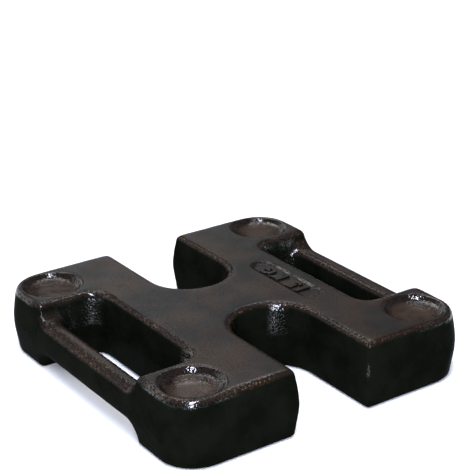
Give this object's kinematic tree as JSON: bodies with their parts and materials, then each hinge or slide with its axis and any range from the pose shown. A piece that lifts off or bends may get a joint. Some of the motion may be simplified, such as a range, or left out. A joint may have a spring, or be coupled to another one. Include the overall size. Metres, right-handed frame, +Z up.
{
  "type": "tent leg weight",
  "caption": "Square cast iron weight plate for a folding tent's leg, with open leg notches, hand holes closed by carrying bars and round dishes at the corners.",
  "frame": {"origin": "middle of the base, on the ground", "axes": "+Z up; +X to the right carrying bar, on the side of the recess for the weight mark; +Y to the back notch; seen from the front notch"},
  "size_m": [0.2534, 0.2534, 0.052],
  "materials": {
    "iron": "glossy black dipped coating over a fine sand-cast grain, thin and brownish on the edges"
  },
  "bodies": {
    "root": {"casting": "iron"}
  },
  "joints": []
}
